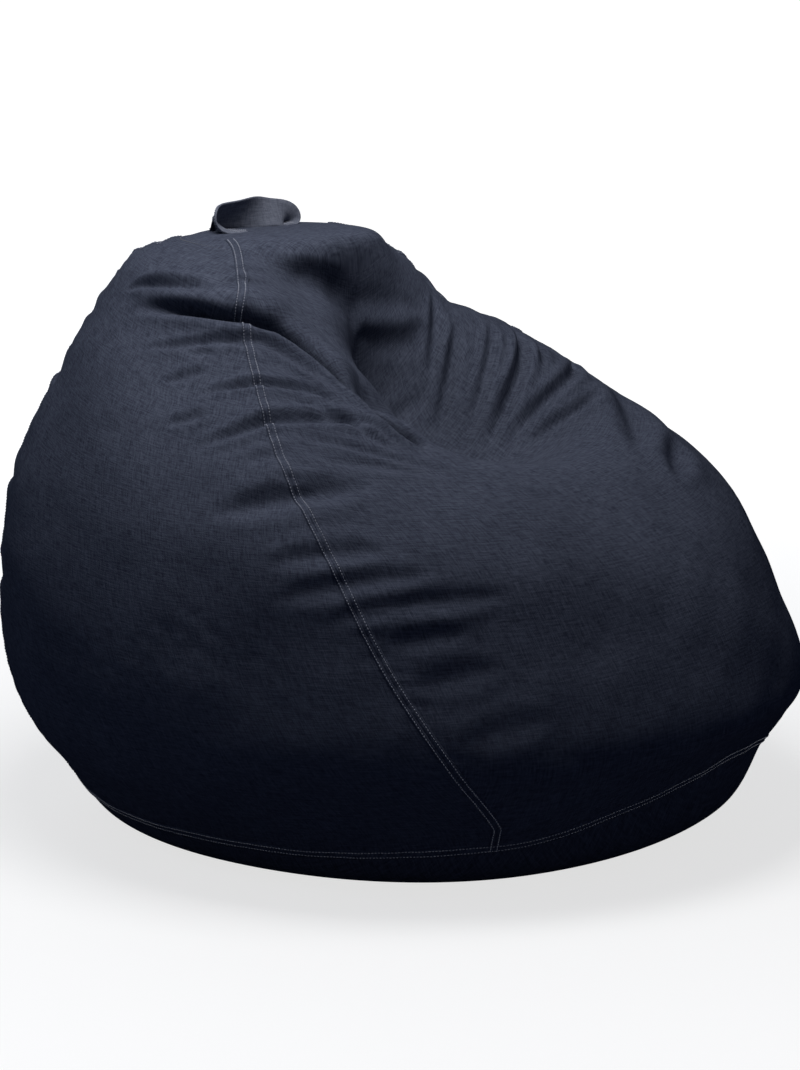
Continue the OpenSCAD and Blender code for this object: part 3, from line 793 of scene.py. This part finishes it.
def stitches(name, rail, offsets, slot_nodes=(), pitch=0.0036, gap=0.0007,
             radius=0.00055):
    """Single stitches that dip into the cloth, in rows at the given offsets."""
    points, faces = [], []
    for offset in offsets:
        p, n = rail(offset)
        step = np.linalg.norm(np.diff(p, axis=0), axis=-1)
        run = np.concatenate([[0], np.cumsum(step)])
        total = int(run[-1] / pitch)
        for s in range(total):
            ends = s * pitch + np.array([gap / 2, gap / 2 + 0.15 * pitch, pitch / 2,
                                         pitch - gap / 2 - 0.15 * pitch, pitch - gap / 2])
            c = np.stack([np.interp(ends, run, p[:, k]) for k in range(3)], -1)
            m = np.stack([np.interp(ends, run, n[:, k]) for k in range(3)], -1)
            m /= np.linalg.norm(m, axis=-1, keepdims=True)
            along = c[-1] - c[0]
            side = np.cross(along / np.linalg.norm(along), m)
            lift = np.array([-0.0008, 0.0001, 0.0004, 0.0001, -0.0008])
            c = c + m * lift[:, None]
            first = len(points)
            for q, mm, ss in zip(c, m, side):
                for a in range(STITCH_SIDES):
                    angle = a * math.pi / 3
                    points.append(q + radius * (math.cos(angle) * mm + math.sin(angle) * ss))
            rings = len(ends) - 1
            for i in range(rings):
                for a in range(STITCH_SIDES):
                    b = (a + 1) % STITCH_SIDES
                    k = first + STITCH_SIDES * i
                    faces.append([k + a, k + STITCH_SIDES + a, k + STITCH_SIDES + b, k + b])
            last = first + STITCH_SIDES * rings
            faces.append([first + a for a in range(STITCH_SIDES)])
            faces.append([last + a for a in reversed(range(STITCH_SIDES))])
    obj = new_object(name, points, faces)
    finish_piece(obj, THREAD, "cover", slot_nodes)
    return obj


HEAD_LEVEL = 7.0   # where the front seams start to turn towards the strap


def upright_seam(name, seam, level_from, turn=0, level_to=CROWN_LEVEL - 0.02):
    """A flat-felled seam; one with a turn runs on over the crown to the strap's foot."""
    levels = np.linspace(level_from, level_to, 680)
    over = np.clip((levels - HEAD_LEVEL) / (level_to - HEAD_LEVEL), 0, 1)
    rail = seam_rail(seam + turn * over ** 2.2, levels)

    band = strip_mesh("band_" + name, BAND_PROFILE, rail)
    finish_piece(band, COVER, "cover")

    def raised(offset):
        p, n = rail(offset)
        return p + n * 0.0010, n

    stitches("stitch_" + name, raised, (-GAUGE / 2, GAUGE / 2), ["topstitch_" + name])


def round_rail(level, toward, u):
    """A rail along a round seam: offsets go from its level towards another level."""
    here, there = sample(SKIN, u, u * 0 + level), sample(SKIN, u, u * 0 + toward)
    side = there - here
    side /= np.linalg.norm(side, axis=-1, keepdims=True)
    n = sample(SKIN_NORMALS, u, u * 0 + (level + toward) / 2)
    n = n - np.sum(n * side, -1, keepdims=True) * side
    n /= np.linalg.norm(n, axis=-1, keepdims=True)

    def rail(offset):
        return here + side * offset, n
    return rail


def round_seams():
    around_front = np.linspace(-134.5, 134.5, 1400)
    hem = [(-0.001, -0.0012), (-0.0008, 0.0008), (0.0012, 0.0013), (0.0036, 0.0007),
           (0.0064, 0.0011), (0.0090, 0.0007), (0.0108, 0.0010), (0.0116, -0.0012)]
    low = round_rail(SEAM_LEVEL, SEAM_LEVEL + 0.3, around_front)
    band = strip_mesh("band_base", hem, low)
    finish_piece(band, COVER, "cover")

    def raised(rail, lift):
        return lambda offset: (rail(offset)[0] + rail(offset)[1] * lift, rail(offset)[1])

    stitches("stitch_base_front", raised(low, THREAD_LIFT), (0.0022, 0.0022 + GAUGE),
             ["topstitch_base"])
    around_back = np.linspace(136, 224, 700)
    upper = round_rail(STRIP_LEVEL, STRIP_LEVEL + 0.2, around_back)
    lower = round_rail(SEAM_LEVEL, SEAM_LEVEL - 0.2, around_back)
    for name, rail in (("upper", upper), ("lower", lower)):
        edge = strip_mesh("zip_hem_" + name, [(0.0, -0.001), (0.0002, 0.0006), (0.0045, 0.0008),
                                              (0.0052, -0.0008)], rail)
        finish_piece(edge, COVER, "cover")
        stitches("stitch_zip_" + name, raised(rail, THREAD_LIFT), (0.0024,))
    whole = np.linspace(0.5, 359.5, 900)
    crown = round_rail(CROWN_LEVEL, TOP_LEVEL, whole)
    rows = stitches("stitch_crown", raised(crown, 0.0), (0.0022, 0.0022 + GAUGE),
                    ["topstitch_crown"], radius=0.0004)
    rows.data.materials[0] = DARK_THREAD


# ---- Liner and beads ----
def inner_panel(name, u_from, u_to, level_from, node):
    where = span(u_from, u_to, level_from, CROWN_LEVEL, 2)
    depth = room(LINER_DEPTH)
    outer, inner = shell(INNER, depth)[where], shell(INNER, depth + LINER_T)[where]
    obj = thin_sheet(name, outer, inner)
    finish_piece(obj, LINER, "cover", [node])


def liner_and_beads():
    inner_panel("inner_front", -135, 135, SEAM_LEVEL, "liner_front")
    inner_panel("inner_back", 135, 225, STRIP_LEVEL, "liner_back")
    depth = room(LINER_DEPTH)
    top = np.array([0, CROWN_Y, BAG_H - LINER_DEPTH])
    round_panel("inner_crown", CROWN_LEVEL, TOP_LEVEL, top, "liner_crown", INNER, depth, LINER_T,
                LINER, 2)
    floor = np.array([0, 0, LINER_DEPTH])
    round_panel("inner_base", FLAT_LEVEL, SEAM_LEVEL, floor, "liner_base", INNER, depth, LINER_T,
                LINER, 2)
    beads = bead_body()
    finish_piece(beads, BEADS, "cover", ["bead_fill"])


def bead_body():
    where = span(0, 360 - 720 / COLUMNS, FLAT_LEVEL, TOP_LEVEL, 2)
    extra = (room(0.0) > 0) * room(0.0) * 0.35
    grid = shell(INNER, room(FILL_DEPTH) + extra)[where]
    rows, cols = grid.shape[:2]
    faces = grid_faces(rows, cols, True).tolist()
    faces += [list(range(cols))[::-1], list(range((rows - 1) * cols, rows * cols))]
    return new_object("beads", grid.reshape(-1, 3), faces)


# ---- Carry strap ----
STRAP_Y = CROWN_Y + 0.048
STRAP_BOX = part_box("carry_strap")
STRAP_HALF = (STRAP_BOX[1][0] - STRAP_BOX[0][0]) / 2 - 0.002
STRAP_FOOT = BAG_H - 0.001
STRAP_SMOOTHING = 60   # passes over its keys
# Middle line of the strap: across, back, up from its foot, in millimetres, and the lift of
# its front edge in degrees; it bulges out past both ends and stands on its back edge
STRAP_ROUTE = [(-54, 0, 0, 0), (-61, 3, 5, 20), (-68, 8, 11, 44), (-72, 12, 16, 60),
               (-62, 16, 17.5, 63), (-42, 17, 18, 63), (-20, 13, 18.5, 66), (0, 7, 18.5, 84),
               (16, 2, 18, 106), (32, -4, 16.5, 122), (46, -8, 14, 118), (56, -9, 9, 74),
               (61, -4, 4, 25), (58, 0, 0, 0)]


def strap_route(steps):
    """The strap's middle line and its twist, smoothed."""
    keys = np.array(STRAP_ROUTE, float)
    run = np.concatenate([[0], np.cumsum(np.linalg.norm(np.diff(keys[:, :3], axis=0), axis=1))])
    t = np.linspace(0, run[-1], steps)
    route = np.stack([np.interp(t, run, k) for k in keys.T], -1)
    for _ in range(STRAP_SMOOTHING):
        route[1:-1] = (route[:-2] + 2 * route[1:-1] + route[2:]) / 4
    line = route[:, :3] * MM + (0, STRAP_Y, STRAP_FOOT)
    return line, -np.radians(route[:, 3])


def strap_piece():
    """A folded band that twists over its arch, hemmed along both edges."""
    steps = 120
    ts = np.linspace(0.0, 1.0, steps)
    line, twist = strap_route(steps)
    tangent = np.gradient(line, axis=0)
    tangent /= np.linalg.norm(tangent, axis=1, keepdims=True)
    width_dir = np.array([[0, 1, 0]] * steps, float)
    out = np.cross(tangent, width_dir)
    out /= np.linalg.norm(out, axis=1, keepdims=True)
    w = width_dir * np.cos(twist)[:, None] + out * np.sin(twist)[:, None]
    o = np.cross(tangent, w)
    half_w, half_t = 0.0185, 0.0013
    cup = 0.9 * np.sin(math.pi * ts) ** 2
    section = [(-1, -0.55), (-1, 0.55), (-0.93, 1.15), (-0.80, 1.0), (-0.75, 0.6), (-0.69, 0.9),
               (-0.35, 1.1), (0, 1.2), (0.35, 1.1), (0.69, 0.9), (0.75, 0.6), (0.80, 1.0),
               (0.93, 1.15), (1, 0.55), (1, -0.55), (0.93, -1.1), (0.75, -0.9), (0.35, -1.0),
               (0, -1.0), (-0.35, -1.0), (-0.75, -0.9), (-0.93, -1.1)]
    points = [line[i] + w[i] * half_w * a + o[i] * half_t * (b - cup[i] * (2 * a * a - 1))
              for i in range(steps) for a, b in section]
    m = len(section)
    faces = [[i * m + j, i * m + (j + 1) % m, (i + 1) * m + (j + 1) % m, (i + 1) * m + j]
             for i in range(steps - 1) for j in range(m)]
    faces += [list(range(m))[::-1], [(steps - 1) * m + j for j in range(m)]]
    obj = new_object("strap_band", points, faces)
    run = np.concatenate([[0], np.cumsum(np.linalg.norm(np.diff(line, axis=0), axis=1))])
    add_uvs(obj, [(a * half_w, run[i]) for i in range(steps) for a, _ in section])
    finish_piece(obj, STRAP, None, ["carry_strap"])
    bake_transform(obj)
    inside = slice(5, steps - 5)
    rows = []
    for edge in (-0.86, 0.86):
        lift = half_t * (1.25 - cup * (2 * edge * edge - 1))
        rows.append(((line + w * half_w * edge + o * lift[:, None])[inside], o[inside]))
    seam = stitches_along("strap_stitches", rows)
    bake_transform(seam)


def strap_roots():
    """The strap's ends, folded under and sewn flat on the crown with a box of stitches."""
    half_w, thick, length = 0.0182, 0.0024, 0.021
    for side, name in ((-1, "right"), (1, "left")):
        xs = side * (STRAP_HALF + 0.001 - np.linspace(0, length, 15))
        ys = np.linspace(-half_w, half_w, 19)
        gx, gy = np.meshgrid(xs, ys, indexing="ij")
        edge = np.minimum(np.minimum(np.arange(15), 14 - np.arange(15))[:, None] / 2.0,
                          np.minimum(np.arange(19), 18 - np.arange(19))[None] / 2.0)
        puff = np.clip(edge, 0, 1) ** 0.5
        top = np.stack([gx, STRAP_Y + gy, STRAP_FOOT + thick * (0.35 + 0.65 * puff)], -1)
        low = np.stack([gx, STRAP_Y + gy, STRAP_FOOT - 0.004 + 0 * gx], -1)
        if side > 0:
            top, low = top[:, ::-1], low[:, ::-1]
        obj = thin_sheet("strap_root_" + name, top[::-1, ::-1], low[::-1, ::-1])
        nodes = ["strap_root_tabs"] if side < 0 else []
        finish_piece(obj, STRAP, "cover", nodes)
        x0, x1 = side * (STRAP_HALF - 0.002), side * (STRAP_HALF - length + 0.003)
        ring = [(x0, -half_w + 0.003), (x1, -half_w + 0.003), (x1, half_w - 0.003),
                (x0, half_w - 0.003), (x0, -half_w + 0.003), (x1, half_w - 0.003)]
        path = np.array([(x, STRAP_Y + y, STRAP_FOOT + thick) for x, y in ring])
        dense = np.concatenate([np.linspace(a, b, 12) for a, b in zip(path[:-1], path[1:])])
        up = np.tile([0.0, 0.0, 1.0], (len(dense), 1))
        nodes = ["strap_bartacks"] if side < 0 else []
        stitches("strap_box_" + name, lambda _: (dense, up), (0,), nodes, pitch=0.003)


def stitches_along(name, rows):
    """Rows of stitches along given lines, left without a body for a blend."""
    obj = None
    both = iter(rows)

    def rail(_):
        return next(both)
    obj = stitches(name, rail, range(len(rows)))
    obj.parent = None
    if "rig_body" in obj:
        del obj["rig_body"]
    return obj


# ---- Studio ----
FLOOR_SIZE = 40.0
FLOOR_GAP = 0.0006          # under the bag
FLOOR_TINT = (0.055, 0.065, 0.11)    # floor as the bag's cloth sees it: a dim studio
SKY_TINT = (0.6, 0.8, 1.4, 1)
SKY_STRENGTH = 0.05
GLOW_SHARE = 0.55           # of the floor's own light, where the camera sees it


def stage_and_light():
    size = FLOOR_SIZE
    floor = new_object("floor", [(-size, -size, 0), (size, -size, 0), (size, size, 0),
                                 (-size, size, 0)], [(0, 1, 2, 3)], False)
    floor.location.z = -FLOOR_GAP
    n = Nodes("floor_paper")
    path = n.add("ShaderNodeLightPath")
    seen = n.math("ADD", path.outputs["Is Camera Ray"], path.outputs["Is Glossy Ray"])
    seen = n.math("ADD", seen, path.outputs["Is Transmission Ray"], True)
    grain = n.noise(n.place(), 30.0)
    pale = n.mix(grain, (0.80, 0.80, 0.80), (0.84, 0.84, 0.84))
    n.surface(n.mix(seen, FLOOR_TINT, pale), n.remap(grain, 0, 1, 0.9, 0.95))
    reach = n.add("ShaderNodeVectorMath", {0: n.place()}, operation="LENGTH")
    glow = n.add("ShaderNodeEmission", {"Color": (1, 1, 1, 1)})
    n.tree.links.new(n.remap(reach.outputs["Value"], 0.5, 2.2, 1.3, 1.85),
                     glow.inputs["Strength"])
    lit = n.add("ShaderNodeMixShader", {0: n.math("MULTIPLY", seen, GLOW_SHARE)})
    n.tree.links.new(n.shader.outputs[0], lit.inputs[1])
    n.tree.links.new(glow.outputs[0], lit.inputs[2])
    output = next(x for x in n.tree.nodes if x.type == "OUTPUT_MATERIAL")
    n.tree.links.new(lit.outputs[0], output.inputs["Surface"])
    floor.data.materials.append(n.material)
    world = bpy.data.worlds.new("studio")
    bpy.context.scene.world = world
    world.use_nodes = True
    tree = world.node_tree
    background = tree.nodes["Background"]
    path = tree.nodes.new("ShaderNodeLightPath")
    total = None
    for ray in ("Is Camera Ray", "Is Glossy Ray", "Is Transmission Ray"):
        if total is None:
            total = path.outputs[ray]
            continue
        add = tree.nodes.new("ShaderNodeMath")
        add.operation = "ADD"
        add.use_clamp = True
        tree.links.new(total, add.inputs[0])
        tree.links.new(path.outputs[ray], add.inputs[1])
        total = add.outputs[0]
    strength = tree.nodes.new("ShaderNodeMapRange")
    strength.inputs["To Min"].default_value = SKY_STRENGTH
    strength.inputs["To Max"].default_value = 1.0
    tree.links.new(total, strength.inputs["Value"])
    tree.links.new(strength.outputs[0], background.inputs["Strength"])
    tint = tree.nodes.new("ShaderNodeMix")
    tint.data_type = "RGBA"
    tint.inputs["A"].default_value = SKY_TINT
    tint.inputs["B"].default_value = (1, 1, 1, 1)
    tree.links.new(total, tint.inputs["Factor"])
    tree.links.new(tint.outputs["Result"], background.inputs["Color"])
    lamp("key", 15.6, 0.8, (-0.30, -0.04, 1.7), (1.0, 1.0, 1.0))
    lamp("side", 3.0, 1.2, (-1.6, 1.4, 1.6), (0.7, 0.82, 1.0))
    lamp("rear", 5.0, 1.2, (0.9, 1.9, 1.5), (0.8, 0.9, 1.0))


LIT_POINT = (0, 0, 0.4)


def lamp(name, power, size, place, colour):
    """A square light that faces the middle of the seat."""
    data = bpy.data.lights.new(name, "AREA")
    data.energy = power
    data.color = colour
    data.size = size
    obj = bpy.data.objects.new(name, data)
    bpy.context.scene.collection.objects.link(obj)
    obj.location = place
    towards = Vector(place) - Vector(LIT_POINT)
    obj.rotation_euler = towards.to_track_quat("Z", "Y").to_euler()


def camera():
    azimuth, elevation, distance = math.radians(-58), math.radians(12), 3.6
    direction = Vector((math.sin(azimuth) * math.cos(elevation),
                        -math.cos(azimuth) * math.cos(elevation), math.sin(elevation)))
    right = Vector((math.cos(azimuth), math.sin(azimuth), 0))
    up = direction.cross(right)
    aim = Vector((0, 0, 0.300)) - 0.00585 * right + 0.0158 * up
    data = bpy.data.cameras.new("camera")
    data.sensor_fit = "VERTICAL"
    data.sensor_height = 24
    data.lens = 69.0
    obj = bpy.data.objects.new("camera", data)
    bpy.context.scene.collection.objects.link(obj)
    obj.location = aim + distance * direction
    obj.rotation_euler = direction.to_track_quat("Z", "Y").to_euler()
    bpy.context.scene.camera = obj


def cad_materials():
    """Finishes for the CAD nodes that stay as they are."""
    finishes = {"zip_tape": TAPE, "zip_coil": COIL, "zip_stops": METAL, "zip_slider": METAL}
    for name, obj in frame["nodes"].items():
        for part, material in finishes.items():
            if part in name:
                for i in range(max(1, len(obj.material_slots))):
                    if not obj.material_slots:
                        obj.data.materials.append(material)
                    obj.material_slots[i].material = material


camera()
stage_and_light()
cover()
upright_seam("front_left", 45, 0.02, 22, 8.8)
upright_seam("front_right", 315, 0.02, -22, 8.8)
upright_seam("back_left", 135, 0.02)
upright_seam("back_right", 225, 0.02)
round_seams()
liner_and_beads()
strap_piece()
strap_roots()
cad_materials()
bpy.context.scene.view_settings.view_transform = "Standard"
